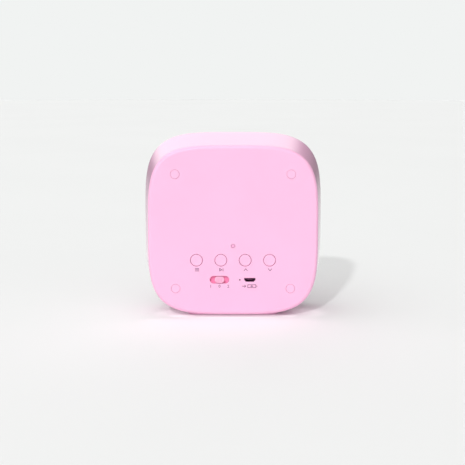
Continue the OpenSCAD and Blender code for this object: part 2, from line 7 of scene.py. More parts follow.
# %% Load the frame
import math
import bmesh
import bpy
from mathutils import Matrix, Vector


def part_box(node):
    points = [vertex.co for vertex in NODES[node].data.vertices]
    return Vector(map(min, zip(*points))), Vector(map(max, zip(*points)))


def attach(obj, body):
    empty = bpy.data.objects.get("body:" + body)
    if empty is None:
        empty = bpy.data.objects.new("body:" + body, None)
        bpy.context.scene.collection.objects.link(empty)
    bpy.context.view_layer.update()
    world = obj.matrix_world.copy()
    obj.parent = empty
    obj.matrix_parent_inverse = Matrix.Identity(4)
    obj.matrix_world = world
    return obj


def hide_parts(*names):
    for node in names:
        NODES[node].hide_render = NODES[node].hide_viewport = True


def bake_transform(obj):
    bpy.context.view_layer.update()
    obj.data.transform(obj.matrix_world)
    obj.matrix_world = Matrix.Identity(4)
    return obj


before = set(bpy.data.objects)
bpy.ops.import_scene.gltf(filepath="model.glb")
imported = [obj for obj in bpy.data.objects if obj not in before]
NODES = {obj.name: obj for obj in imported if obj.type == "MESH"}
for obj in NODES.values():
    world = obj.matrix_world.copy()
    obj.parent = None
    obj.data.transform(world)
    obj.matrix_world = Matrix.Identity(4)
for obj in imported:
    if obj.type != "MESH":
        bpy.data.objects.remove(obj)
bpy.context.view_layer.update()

print("nodes in the frame:", len(NODES))

# %% [markdown]
# ## Sizes
# The main sizes are read from the frame's own nodes, so a new piece lies exactly where its
# solid lies. One millimetre is written as MM, because Blender works in metres.

# %% Sizes read from the frame
MM = 0.001
cover_low, cover_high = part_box("rear_cover")
shell_low, shell_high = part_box("housing")
grille_low, grille_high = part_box("front_grille")
REAR_Y = cover_high.y
REAR_HALF = (cover_high.x - cover_low.x) / 2
REAR_Z = (cover_high.z + cover_low.z) / 2
FRONT_Y = shell_low.y
SHELL_Y = shell_high.y
BODY_HALF = (shell_high.x - shell_low.x) / 2
FRONT_Z = shell_high.z - BODY_HALF
GRILLE_HALF = (grille_high.x - grille_low.x) / 2
GRILLE_Y = grille_low.y
print("rear panel half width", round(REAR_HALF / MM, 2), "body half width", round(BODY_HALF / MM, 2))

# %% [markdown]
# ## Selecting and finishing
# An operator acts on all that is selected, and a modifier's shape is only final once it is
# applied. The helpers below see to both: one makes a piece the only selected object, one puts
# its place into its mesh, and one applies a modifier at once. The others merge doubled points,
# smooth the shading, cut, unite and join, and copy a piece that repeats.

# %% Helpers for selecting, editing and finishing
def only(piece):
    bpy.ops.object.select_all(action="DESELECT")
    piece.select_set(True)
    bpy.context.view_layer.objects.active = piece
    return piece


def settle(piece, name):
    only(piece)
    piece.name = name
    piece.data.name = name
    bpy.ops.object.transform_apply(location=True, rotation=True, scale=True)
    return piece


def apply_modifier(piece, kind, **settings):
    only(piece)
    modifier = piece.modifiers.new(kind.lower(), kind)
    for key, value in settings.items():
        setattr(modifier, key, value)
    bpy.ops.object.modifier_apply(modifier=modifier.name)


def face_outwards(piece):
    only(piece)
    bpy.ops.object.mode_set(mode="EDIT")
    bpy.ops.mesh.select_all(action="SELECT")
    bpy.ops.mesh.remove_doubles(threshold=0.001 * MM)
    bpy.ops.mesh.normals_make_consistent(inside=False)
    bpy.ops.object.mode_set(mode="OBJECT")


def smooth(piece, angle=30):
    only(piece)
    bpy.ops.object.shade_smooth_by_angle(angle=math.radians(angle))
    apply_modifier(piece, "WEIGHTED_NORMAL", mode="FACE_AREA", weight=100, keep_sharp=True)


def cut(piece, cutter):
    apply_modifier(piece, "BOOLEAN", operation="DIFFERENCE", object=cutter, solver="EXACT")
    bpy.data.objects.remove(cutter)


def unite(piece, other):
    apply_modifier(piece, "BOOLEAN", operation="UNION", object=other, solver="EXACT")
    bpy.data.objects.remove(other)


def join(pieces, name):
    bpy.ops.object.select_all(action="DESELECT")
    for piece in pieces:
        piece.select_set(True)
    bpy.context.view_layer.objects.active = pieces[0]
    if len(pieces) > 1:
        bpy.ops.object.join()
    return settle(bpy.context.object, name)


def copies(model, places):
    """A copy of the model, with a mesh of its own, at each (x, z). The model itself goes."""
    made = []
    for x, z in places:
        copy = model.copy()
        copy.data = model.data.copy()
        bpy.context.collection.objects.link(copy)
        copy.location = (x, 0, z)
        made.append(copy)
    bpy.data.objects.remove(model)
    return made


print("helpers are ready; the frame's body is", round(2 * BODY_HALF / MM, 1), "mm wide")

# %% [markdown]
# ## The squircle
# The outline is a superellipse, |x|^n + |z|^n = 1 with n = 4. Every section of the body is this
# same outline at another size. So a wall is made as a stack of rings: a circle primitive is
# added, its points are set on the first outline, and it is extruded ring by ring, each new ring
# being set on the next outline. The same helper serves round, stadium and plug-shaped pieces.

# %% Outlines and the ring stack
SQUARENESS = 4.0
RING_POINTS = 192


def squircle(half, y, z=REAR_Z):
    points = []
    for i in range(RING_POINTS):
        angle = 2 * math.pi * i / RING_POINTS
        c, s = math.cos(angle), math.sin(angle)
        reach = half * (abs(c) ** SQUARENESS + abs(s) ** SQUARENESS) ** (-1 / SQUARENESS)
        points.append(Vector((reach * c, y, z + reach * s)))
    return points


def circle(x, z, radius, y, count=64):
    turns = [2 * math.pi * i / count for i in range(count)]
    return [Vector((x + radius * math.cos(a), y, z + radius * math.sin(a))) for a in turns]


def rounded(x, z, length, height, radius, y, corner_steps=10):
    """A rectangle with round corners. A radius of half the height makes a stadium."""
    points = []
    for quarter, (side, up) in enumerate(((1, 1), (-1, 1), (-1, -1), (1, -1))):
        for i in range(corner_steps + 1):
            a = math.pi / 2 * (quarter + i / corner_steps)
            points.append(Vector((x + side * (length / 2 - radius) + radius * math.cos(a), y,
                                  z + up * (height / 2 - radius) + radius * math.sin(a))))
    return points


def key(point):
    return tuple(round(c / MM, 5) for c in point)


def set_ring(piece, old, new):
    """Moves the selected points, which lie on the old ring, to the new one."""
    place = {key(a): b for a, b in zip(old, new)}
    mesh = bmesh.from_edit_mesh(piece.data)
    for vertex in mesh.verts:
        if vertex.select:
            vertex.co = place[key(vertex.co)]
    bmesh.update_edit_mesh(piece.data)


def ring_stack(name, rings, closed=False):
    """A solid through the rings. With closed, the last ring is joined to the first."""
    bpy.ops.object.select_all(action="DESELECT")
    count = len(rings[0])
    bpy.ops.mesh.primitive_circle_add(vertices=count, radius=1, fill_type="NOTHING" if closed else "NGON")
    piece = bpy.context.object
    start = [v.co.copy() for v in piece.data.vertices]
    bpy.ops.object.mode_set(mode="EDIT")
    bpy.ops.mesh.select_all(action="SELECT")
    set_ring(piece, start, rings[0])
    for old, new in zip(rings, rings[1:]):
        bpy.ops.mesh.extrude_region_move()
        set_ring(piece, old, new)
    if closed:
        bpy.ops.mesh.extrude_region_move()
        set_ring(piece, rings[-1], rings[0])
    bpy.ops.object.mode_set(mode="OBJECT")
    piece = settle(piece, name)
    face_outwards(piece)
    return piece


def rod(radius, y_from, y_to, count=32):
    """A straight rod along Y through the origin, to be copied to its places."""
    return ring_stack("rod", [circle(0, 0, radius, y, count) for y in (y_from, y_to)])


def quarter_round(radius, steps):
    """A rounded edge, as pairs: how far in from the wall, and how far back from the face."""
    turns = [math.pi / 2 * i / steps for i in range(steps + 1)]
    return [(radius * (1 - math.cos(a)), radius * (1 - math.sin(a))) for a in turns]


print("points in a squircle ring:", len(squircle(REAR_HALF, REAR_Y)))


# %% [markdown]
# ## The housing
# The real housing is one moulding: a rounded front with a flat lip, a plain wall that draws in
# towards the rear, a step for the cover, and a baffle that carries the driver. Each of these is
# a squircle section, so the whole moulding is one closed stack of rings. Only the driver's hole
# and seat are round: the last four rings are circles with as many points as the others.

# %% Levels and half widths of the housing
WALL = 2.4 * MM
EDGE = 0.3 * MM
WIDEST_Y = FRONT_Y + 14 * MM
LEDGE_Y = grille_high.y - 3 * MM
LIP_HALF = BODY_HALF - 7 * MM
BAFFLE_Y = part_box("driver_basket")[0].y
BAFFLE_T = 3 * MM
OPENING_HALF = LIP_HALF - 2 * MM
POCKET_HALF = OPENING_HALF - 3.6 * MM
GASKET_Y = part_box("cover_gasket")[0].y
STEP_HALF = REAR_HALF - 1.3 * MM
CAVITY_Y = BAFFLE_Y + BAFFLE_T
HOLE_R = 29.2 * MM
SEAT_R = 35.2 * MM
SEAT_Y = BAFFLE_Y + 1.7 * MM
print("baffle at y", round(BAFFLE_Y / MM, 2), "to", round(CAVITY_Y / MM, 2))


# %% Rings of the housing
def at_front(pairs):
    return [squircle(half, y, FRONT_Z) for half, y in pairs]


def wall_at(y, inset):
    """Half width and middle height of the drawn-in wall at y, that far inside its surface."""
    share = max(0, (y - WIDEST_Y) / (SHELL_Y - WIDEST_Y))
    return BODY_HALF + (REAR_HALF - BODY_HALF) * share - inset, FRONT_Z + (REAR_Z - FRONT_Z) * share


def wall_rings(inset, y_from, y_to, steps):
    """Rings down the drawn-in wall, from one y to the other."""
    rings = []
    for i in range(steps + 1):
        y = y_from + (y_to - y_from) * i / steps
        half, middle = wall_at(y, inset)
        rings.append(squircle(half, y, middle))
    return rings


FRONT_STEPS = 16
front_turns = [math.pi / 2 * i / FRONT_STEPS for i in range(FRONT_STEPS + 1)]
round_front = [(LIP_HALF + (BODY_HALF - LIP_HALF) * math.sin(a),
                FRONT_Y + (WIDEST_Y - FRONT_Y) * (1 - math.cos(a))) for a in front_turns]
opening = [(POCKET_HALF, BAFFLE_Y), (POCKET_HALF, LEDGE_Y), (OPENING_HALF, LEDGE_Y)]
opening += [(OPENING_HALF + out, FRONT_Y + back) for out, back in quarter_round(EDGE, 6)]
front_rings = at_front(opening + round_front)
outer_rings = wall_rings(0, WIDEST_Y, SHELL_Y - EDGE, 12)[1:]
mouth_rings = [squircle(REAR_HALF - EDGE * 0.3, SHELL_Y - EDGE * 0.3), squircle(REAR_HALF - EDGE, SHELL_Y),
               squircle(STEP_HALF, SHELL_Y), squircle(STEP_HALF, GASKET_Y)]
inner_rings = wall_rings(WALL, GASKET_Y, CAVITY_Y, 6)
baffle_rings = [circle(0, FRONT_Z, radius, y, RING_POINTS) for radius, y in (
    (HOLE_R, CAVITY_Y), (HOLE_R, SEAT_Y), (SEAT_R, SEAT_Y), (SEAT_R, BAFFLE_Y))]
housing = ring_stack("housing_shell", front_rings + outer_rings + mouth_rings + inner_rings + baffle_rings,
                     closed=True)
print("housing blank faces:", len(housing.data.polygons))

# %% [markdown]
# ## Bosses and webs
# Four bosses reach back from the baffle to the rear panel's posts. A web ties each one to the
# corner of the wall. The web's length is found section by section, because the wall draws in:
# from the boss it runs along the diagonal until it is 1 mm deep in the wall.

# %% Bosses and webs
caps_low, caps_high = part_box("screw_caps")
CAP_R = 3 * MM
CAP_X = [caps_low.x + CAP_R, caps_high.x - CAP_R]
CAP_Z = [caps_low.z + CAP_R, caps_high.z - CAP_R]
cap_places = [(x, z) for x in CAP_X for z in CAP_Z]
BOSS_END = cover_low.y - 0.05 * MM
BOSS_R = 3.75 * MM
BITE = 0.5 * MM
WEB_HALF, WEB_NEAR, WEB_STEPS = 1 * MM, 2 * MM, 5


def wall_reach(x, z, dx, dz, y):
    """How far from (x, z) the inner wall lies, going along (dx, dz)."""
    half, middle = wall_at(y, WALL)
    reach = 0
    while abs(x + dx * reach) ** SQUARENESS + abs(z + dz * reach - middle) ** SQUARENESS < half ** SQUARENESS:
        reach += 0.1 * MM
    return reach


bosses = copies(rod(BOSS_R, CAVITY_Y - BITE, BOSS_END, 48), cap_places)
for boss, (x, z) in zip(bosses, cap_places):
    dx, dz = math.copysign(math.sqrt(0.5), x), math.copysign(math.sqrt(0.5), z - REAR_Z)
    rings = []
    for i in range(WEB_STEPS + 1):
        y = CAVITY_Y - BITE + (BOSS_END - 1 * MM - CAVITY_Y) * i / WEB_STEPS
        far = wall_reach(x, z, dx, dz, y) + 1 * MM
        corners = ((WEB_NEAR, -WEB_HALF), (far, -WEB_HALF), (far, WEB_HALF), (WEB_NEAR, WEB_HALF))
        rings.append([Vector((x + dx * a - dz * b, y, z + dz * a + dx * b)) for a, b in corners])
    unite(boss, ring_stack("web", rings))
unite(housing, join(bosses, "bosses"))
print("housing with its bosses, faces:", len(housing.data.polygons))

# %% [markdown]
# ## Screw bores, peg holes and the foot's pocket
# Every hole is cut by a solid of its own shape. One rod is modelled for each size of hole and
# copied to its places, and all the cutters are joined, so that one Boolean takes them away.

# %% Bores and pocket
PEG_AT = 2 ** (-1 / SQUARENESS) * (OPENING_HALF + POCKET_HALF) / 2
peg_places = [(x * PEG_AT, FRONT_Z + z * PEG_AT) for x in (-1, 1) for z in (-1, 1)]
bores = copies(rod(1.5 * MM, BOSS_END - 7.5 * MM, BOSS_END + 1 * MM), cap_places)
bores += copies(rod(1.25 * MM, LEDGE_Y - 1 * MM, LEDGE_Y + 3.2 * MM), peg_places)
foot_low, foot_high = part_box("foot_pad")
FOOT_L, FOOT_W = foot_high.x - foot_low.x, foot_high.y - foot_low.y
FOOT_Y = (foot_high.y + foot_low.y) / 2
FOOT_R = 5 * MM


def foot_outline(grow, height):
    flat = rounded(0, FOOT_Y, FOOT_L + 2 * grow, FOOT_W + 2 * grow, FOOT_R + grow, 0)
    return [Vector((p.x, p.z, height)) for p in flat]


pocket = ring_stack("pocket", [foot_outline(0.15 * MM, h) for h in (0.2 * MM, foot_high.z)])
cut(housing, join(bores + [pocket], "bores"))
face_outwards(housing)
smooth(housing)
print("housing faces:", len(housing.data.polygons))
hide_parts("housing")
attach(housing, "body")

# %% [markdown]
# ## The rear panel
# The panel is a second moulding that drops into the housing. Its rim is rounded, so it catches
# a soft highlight all round. It is a stack of rings from the inner face out over the locating
# spigot and the rim to the flat face. The holes are cut with flared cutters: each cutter widens
# at its mouth, which leaves a small rounded edge there, as a real mould does.

# %% Rear panel blank
RIM_Y = REAR_Y - 2.8 * MM
PLATE_Y = REAR_Y - 2.4 * MM
SPIGOT_Y = cover_high.y - 5.6 * MM
SPIGOT_HALF = REAR_HALF - 1.5 * MM
SPIGOT_INNER = SPIGOT_HALF - 1.6 * MM
RIM_ROUND = 2.2 * MM
PRINT = 0.03 * MM
FACE_Y = REAR_Y - PRINT

rim = [(SPIGOT_INNER, PLATE_Y), (SPIGOT_INNER, SPIGOT_Y), (SPIGOT_HALF, SPIGOT_Y), (SPIGOT_HALF, RIM_Y),
       (REAR_HALF - EDGE, RIM_Y), (REAR_HALF - EDGE * 0.3, RIM_Y + EDGE * 0.3), (REAR_HALF, RIM_Y + EDGE)]
rim += [(REAR_HALF - inward, FACE_Y - back) for inward, back in quarter_round(RIM_ROUND, 14)]
rim.append((REAR_HALF - RIM_ROUND - 2.5 * MM, FACE_Y))
panel = ring_stack("rear_panel", [squircle(half, y) for half, y in rim])
print("rings in the panel's blank:", len(rim))

# %% [markdown]
# ## Places of the controls
# The buttons, the switch, the socket, the light's pinhole and the microphone's hole each have a
# solid in the frame. Its middle is the place of the opening. A visible cap is a hair smaller
# than its solid, so that the ring around it shows as a fine line.

# %% Places of the controls, read from their own solids
def centre(node):
    low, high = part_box(node)
    return (high + low) / 2


BUTTON_BODY = {"button_mode": "mode_button", "button_play": "play_button",
               "button_up": "up_button", "button_down": "down_button"}
button_at = {node: centre(node) for node in BUTTON_BODY}
BUTTON_R = 3.8 * MM
BUTTON_HOLE_R = BUTTON_R + 0.24 * MM
PLUG_R = CAP_R - 0.16 * MM
KNOB = centre("slide_knob")
SOCKET = centre("usb_socket")
LIGHT = centre("charge_light_pipe")
MIC = centre("mic_boot")
boards_low, boards_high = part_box("board_screws")
BOARD_HEAD_R = 1.8 * MM
pillar_places = [(x, z) for x in (boards_low.x + BOARD_HEAD_R, boards_high.x - BOARD_HEAD_R)
                 for z in (boards_low.z + BOARD_HEAD_R, boards_high.z - BOARD_HEAD_R)]
print("button pitch", round((button_at["button_mode"].x - button_at["button_play"].x) / MM, 2))

# %% [markdown]
# ## Holes in the panel
# A cutter runs from inside the panel to just past its face. Near the face it follows a small
# quarter round outwards, so the edge that is left behind is soft. Cutters that don't overlap
# are joined into one object, and one Boolean takes them all away.

# %% Flared cutters and the panel's holes
def flare_steps(edge, y_inner=PLATE_Y - 1 * MM):
    """Pairs of growth and y for a cutter whose mouth leaves a rounded edge of that radius."""
    mouth = [(out, FACE_Y - back) for out, back in quarter_round(edge, 4)]
    return [(0, y_inner)] + mouth + [(edge, FACE_Y + 1 * MM)]


def round_cutters(radius, edge, places, **inner):
    steps = flare_steps(edge, **inner)
    return copies(ring_stack("cutter", [circle(0, 0, radius + grow, y) for grow, y in steps]), places)


def socket_outline(grow, y):
    """Wide side up, with its lower corners cut off, as on the plug."""
    w, h, slant = 3.65 * MM + grow, 1.25 * MM + grow, 1.1 * MM
    corners = [(w, h), (-w, h), (-w, -0.1 * h), (slant - w, -h), (w - slant, -h), (w, -0.1 * h)]
    points = []
    for (x0, z0), (x1, z1) in zip(corners, corners[1:] + corners[:1]):
        for share in (0, 0.08, 0.92):
            points.append(Vector((SOCKET.x + x0 + (x1 - x0) * share, y, SOCKET.z + z0 + (z1 - z0) * share)))
    return points


SLOT_L, SLOT_H = 12.5 * MM, 5 * MM
button_places = [(place.x, place.z) for place in button_at.values()]
cutters = round_cutters(BUTTON_HOLE_R, 0.25 * MM, button_places)
cutters += round_cutters(PLUG_R + 0.12 * MM, 0.16 * MM, cap_places, y_inner=REAR_Y - 4.1 * MM)
cutters += round_cutters(1.35 * MM, 0.12 * MM, [(MIC.x, MIC.z)])
cutters += round_cutters(0.5 * MM, 0.08 * MM, [(LIGHT.x, LIGHT.z)])
cutters.append(ring_stack("cutter", [
    rounded(KNOB.x, KNOB.z, SLOT_L + 2 * grow, SLOT_H + 2 * grow, SLOT_H / 2 + grow, y)
    for grow, y in flare_steps(0.3 * MM)]))
cutters.append(ring_stack("cutter", [
    socket_outline(0.05 * MM + grow, y) for grow, y in flare_steps(0.08 * MM)]))
print("cutters:", len(cutters))

# %% [markdown]
# ## Posts and pillars
# Behind the panel stand four posts that take the case screws and four pillars that hold the
# circuit board. They are turned from circles in the same way and united with the panel before
# any hole is cut, and then the screws' own holes go through them.

# %% Posts, pillars and the finished panel
BOARD_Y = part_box("main_board")[1].y
POST_Y = cover_low.y
posts = copies(rod(4 * MM, POST_Y, PLATE_Y + 0.6 * MM, 64), cap_places)
posts += copies(rod(2.5 * MM, BOARD_Y, PLATE_Y + 0.6 * MM), pillar_places)
unite(panel, join(posts, "posts"))
cut(panel, join(cutters, "cutters"))
bores = copies(rod(1.65 * MM, POST_Y - 1 * MM, REAR_Y - 4 * MM), cap_places)
bores += copies(rod(0.95 * MM, BOARD_Y - 1 * MM, BOARD_Y + 4 * MM, 24), pillar_places)
cut(panel, join(bores, "bores"))
face_outwards(panel)
smooth(panel)
print("panel faces:", len(panel.data.polygons))
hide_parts("rear_cover")
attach(panel, "body")

# %% [markdown]
# ## Buttons
# Each push button is a turned cap with a softly broken edge, a very shallow dish for the
# fingertip, and a flange behind the panel that keeps it in. It is modelled once, as a stack of
# circles, and copied to the place of each solid. Every copy rides on a body of its own.

# %% Buttons
FLANGE_R, FLANGE_LOW = 4.8 * MM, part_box("button_mode")[0].y
FLANGE_HIGH = FLANGE_LOW + 1 * MM
DISH_DEPTH, DISH_SHARE = 0.14 * MM, 0.86
pairs = [(FLANGE_R, FLANGE_LOW), (FLANGE_R, FLANGE_HIGH), (BUTTON_R, FLANGE_HIGH)]
pairs += [(BUTTON_R - inward, REAR_Y - back) for inward, back in quarter_round(0.45 * MM, 6)]
pairs += [(BUTTON_R * share, REAR_Y - DISH_DEPTH * (1 - (share / DISH_SHARE) ** 2))
          for share in (0.8, 0.65, 0.45, 0.25, 0.1)]
turned_cap = ring_stack("cap", [circle(0, 0, radius, y, 96) for radius, y in pairs])
smooth(turned_cap)
caps = copies(turned_cap, button_places)
for cap, (node, body) in zip(caps, BUTTON_BODY.items()):
    settle(cap, body + "_cap")
    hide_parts(node)
    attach(cap, body)
print("button caps:", len(caps), "faces in one:", len(caps[0].data.polygons))

# %% [markdown]
# ## Screw plugs
# Four small discs close the holes over the case screws. They are pressed in flush, so only a
# hairline shows. One disc is modelled, and the others are copies with meshes of their own.

# %% Screw plugs
pairs = [(PLUG_R, REAR_Y - 1.3 * MM)]
pairs += [(PLUG_R - inward, FACE_Y - back) for inward, back in quarter_round(0.15 * MM, 4)]
pairs.append((PLUG_R * 0.7, FACE_Y))
plug = ring_stack("plug", [circle(0, 0, radius, y, 96) for radius, y in pairs])
plugs = join(copies(plug, cap_places), "screw_plugs")
smooth(plugs)
print("screw plugs:", len(cap_places))
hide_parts("screw_caps")
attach(plugs, "body")

# %% [markdown]
# ## Switch thumb piece
# The slide switch has a small pill-shaped thumb piece standing on a plate. The plate is wider
# than the slot, so the slot stays closed wherever the thumb piece is. Fine grooves across the
# pill give grip: each is cut by a thin bar, as an engraver's wheel would.

# %% Switch thumb piece
knob_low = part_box("slide_knob")[0]
PLATE_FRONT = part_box("slide_switch_lever")[1].y
KNOB_L, KNOB_H = 6.4 * MM, 4.3 * MM
plate = ring_stack("plate", [rounded(KNOB.x, KNOB.z, 19 * MM, 7.4 * MM, 1.2 * MM, y)
                             for y in (PLATE_FRONT, PLATE_FRONT + 0.9 * MM)])
steps = [(0, PLATE_FRONT + 0.5 * MM)]
steps += [(inward, FACE_Y - back) for inward, back in quarter_round(0.5 * MM, 6)]
thumb = ring_stack("switch_thumb", [
    rounded(KNOB.x, KNOB.z, KNOB_L - 2 * inward, KNOB_H - 2 * inward, 2.1 * MM - inward, y)
    for inward, y in steps])
GROOVE_L, GROOVE_W = 3 * MM, 0.3 * MM
groove = ring_stack("groove", [
    rounded(0, KNOB.z, GROOVE_W + 2 * grow, GROOVE_L, 0.14 * MM, y, 3)
    for grow, y in ((0, FACE_Y - 0.35 * MM), (0.1 * MM, FACE_Y + 0.2 * MM))])
grooves = copies(groove, [(KNOB.x + i * MM, 0) for i in (-1.5, -0.5, 0.5, 1.5)])
cut(thumb, join(grooves, "grooves"))
unite(thumb, plate)
fork = ring_stack("fork", [rounded(0, KNOB.z, 0.8 * MM, 1.4 * MM, 0.2 * MM, y, 4)
                           for y in (knob_low.y, PLATE_FRONT + 0.3 * MM)])
unite(thumb, join(copies(fork, [(KNOB.x + side * 1.4 * MM, 0) for side in (-1, 1)]), "forks"))
face_outwards(thumb)
smooth(thumb)
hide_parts("slide_knob")
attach(thumb, "switch_slider")
print("thumb piece faces:", len(thumb.data.polygons))

# %% [markdown]
# ## Front grille
# The grille is a flat squircle plate with rings of round sound holes: one in the middle, and
# six more in each ring than in the ring inside it, which keeps them evenly spaced. One cutter
# is modelled and copied to every place, and one Boolean drills them all.

# %% Front grille
grille_pairs = [(GRILLE_HALF, LEDGE_Y)]
grille_pairs += [(GRILLE_HALF - inward, GRILLE_Y + back) for inward, back in quarter_round(0.35 * MM, 5)]
grille = ring_stack("grille_panel", at_front(grille_pairs))
HOLE, PITCH, RINGS = 1.1 * MM, 4.4 * MM, 7
drill = ring_stack("drill", [circle(0, 0, radius, y, 20) for radius, y in (
    (HOLE + 0.2 * MM, GRILLE_Y - 0.3 * MM), (HOLE + 0.2 * MM, GRILLE_Y),
    (HOLE + 0.06 * MM, GRILLE_Y + 0.06 * MM), (HOLE, GRILLE_Y + 0.2 * MM), (HOLE, LEDGE_Y + 0.3 * MM))])
hole_places = [(0, FRONT_Z)]
for n in range(1, RINGS + 1):
    turns = [math.pi / 3 * i / n for i in range(6 * n)]
    hole_places += [(n * PITCH * math.cos(a), FRONT_Z + n * PITCH * math.sin(a)) for a in turns]
cut(grille, join(copies(drill, hole_places), "drills"))
unite(grille, join(copies(rod(1.2 * MM, LEDGE_Y - BITE, grille_high.y), peg_places), "pegs"))
face_outwards(grille)
smooth(grille)
print("sound holes:", len(hole_places), "grille faces:", len(grille.data.polygons))
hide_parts("front_grille")
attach(grille, "body")

# %% [markdown]
# ## The driver's two soft rings
# A driver's cone hangs on two flexible rings: a rubber surround with a half-round roll at its
# rim, and a corrugated cloth spider at its neck. Outside, each ring is glued to the basket, and
# inside to the cone, so it has to bend as the cone moves. Each ring is made as twelve equal
# sectors. A sector is a stack of one cross-section, turned a little at each step.

# %% Surround and spider in sectors
SECTORS, SECTOR_STEPS = 12, 5
SECTOR_TURN = 2 * math.pi / SECTORS


def soft_ring(name, node, profile):
    """Twelve sectors of the ring, each a stack of the profile turned a little at each step."""
    sectors = []
    for n in range(SECTORS):
        turns = [SECTOR_TURN * (n + i / SECTOR_STEPS) for i in range(SECTOR_STEPS + 1)]
        rings = [[Vector((r * math.cos(a), y, FRONT_Z + r * math.sin(a))) for r, y in profile] for a in turns]
        sector = ring_stack(f"{name}_{n + 1}", rings)
        smooth(sector)
        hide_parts(node)
        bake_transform(sector)
        sectors.append(sector)
    return sectors


SHEET = 0.4 * MM
roll_low, roll_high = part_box("driver_surround")
CONE_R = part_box("driver_cone")[1].x
LAND_OUT_R = roll_high.x
ROLL_OUT_R = LAND_OUT_R - 2 * MM
ROLL_H = roll_high.y - roll_low.y
roll_mid, roll_half = (ROLL_OUT_R + CONE_R) / 2, (ROLL_OUT_R - CONE_R) / 2
lift = math.asin(SHEET / ROLL_H)
outer_roll = [(roll_mid - roll_half * math.cos(a), BAFFLE_Y - ROLL_H * math.sin(a))
              for a in (lift + (math.pi - 2 * lift) * i / 18 for i in range(19))]
inner_roll = [(roll_mid + (roll_half - SHEET) * math.cos(a), BAFFLE_Y - (ROLL_H - SHEET) * math.sin(a))
              for a in (math.pi * i / 18 for i in range(19))]
surround_profile = ([(CONE_R - 1.4 * MM, BAFFLE_Y), (CONE_R - 1.4 * MM, BAFFLE_Y - SHEET)] + outer_roll
                    + [(LAND_OUT_R, BAFFLE_Y - SHEET), (LAND_OUT_R, BAFFLE_Y)] + inner_roll)
surround = soft_ring("surround_sector", "driver_surround", surround_profile)

spider_low, spider_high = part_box("driver_spider")
NECK_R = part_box("coil_former")[1].x + 0.1 * MM
SHELF_R = spider_high.x - 2.5 * MM
WAVES, WAVE_STEPS = 4, 10
WAVE_H = spider_high.y - spider_low.y - SHEET
wave_line = [(NECK_R + (SHELF_R - NECK_R) * i / (WAVES * WAVE_STEPS),
              spider_low.y + WAVE_H / 2 * (1 + math.cos(2 * math.pi * i / WAVE_STEPS)))
             for i in range(WAVES * WAVE_STEPS + 1)]
spider_profile = (wave_line + [(spider_high.x, spider_high.y - SHEET), (spider_high.x, spider_high.y)]
                  + [(r, y + SHEET) for r, y in reversed(wave_line)])
spider = soft_ring("spider_sector", "driver_spider", spider_profile)
print("soft sectors:", len(surround) + len(spider), "faces in one:", len(spider[0].data.polygons))

# %% [markdown]
# ## Foot
# The foot is a soft moulded pad. Its lower edge is well rounded and its sole has shallow ribs,
# so that it grips a wet ledge. The pad is a stack of rounded rectangles, and the ribs are left
# standing between grooves.

# %% Foot pad
foot_steps = [(0, foot_high.z)] + [(-inward, back) for inward, back in quarter_round(0.5 * MM, 5)]
foot = ring_stack("foot_sole", [foot_outline(grow, height) for grow, height in foot_steps])
GROOVES, GROOVE_PITCH = 9, 2.4 * MM
bars = []
for i in range(GROOVES):
    at = FOOT_Y + (i - (GROOVES - 1) / 2) * GROOVE_PITCH
    flat = rounded(0, at, FOOT_L - 9 * MM, 1.1 * MM, 0.5 * MM, 0, 5)
    bars.append(ring_stack("bar", [[Vector((p.x, p.z, h)) for p in flat] for h in (-0.5 * MM, 0.3 * MM)]))
cut(foot, join(bars, "bars"))
face_outwards(foot)
smooth(foot)
print("grooves in the sole:", GROOVES)
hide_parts("foot_pad")
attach(foot, "body")

# %% [markdown]
# ## Printed marks
# The marks are pad-printed: a film of grey-mauve ink a few hundredths of a millimetre thick.
# Each is a thin prism on the panel's face, so it is real geometry that a light can catch. The
# set is generic: bars for the mode, a triangle and bar for play, an up and a down chevron, plain
# numbers for the switch's three places, and a cell with a plus for charging.

# %% Strokes and marks
INK_LOW = FACE_Y - 0.01 * MM
INK_HIGH = REAR_Y - 0.002 * MM


def across(x):
    """Turns a distance to the right, seen from behind the panel, into the frame's X."""
    return -x


STROKE_W = 0.42 * MM


def stroke(x0, z0, x1, z1):
    """A printed line with round ends."""
    centre_x, centre_z = (x0 + x1) / 2, (z0 + z1) / 2
    length = math.hypot(x1 - x0, z1 - z0) + STROKE_W
    turn = math.atan2(z1 - z0, x1 - x0)
    c, s = math.cos(turn), math.sin(turn)
    rings = []
    for y in (INK_LOW, INK_HIGH):
        flat = rounded(0, 0, length, STROKE_W, STROKE_W * 0.499, y, 5)
        rings.append([Vector((centre_x + p.x * c - p.z * s, y, centre_z + p.x * s + p.z * c)) for p in flat])
    return ring_stack("stroke", rings)


def strokes(x, z, lines):
    """Lines given in millimetres to the right of x and above z."""
    return [stroke(across(x + a * MM), z + b * MM, across(x + c * MM), z + d * MM) for a, b, c, d in lines]


def print_mark(name, pieces):
    mark = join(pieces, name)
    face_outwards(mark)
    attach(mark, "body")
    return mark


print("ink film is", round((INK_HIGH - INK_LOW) / MM, 3), "mm thick")

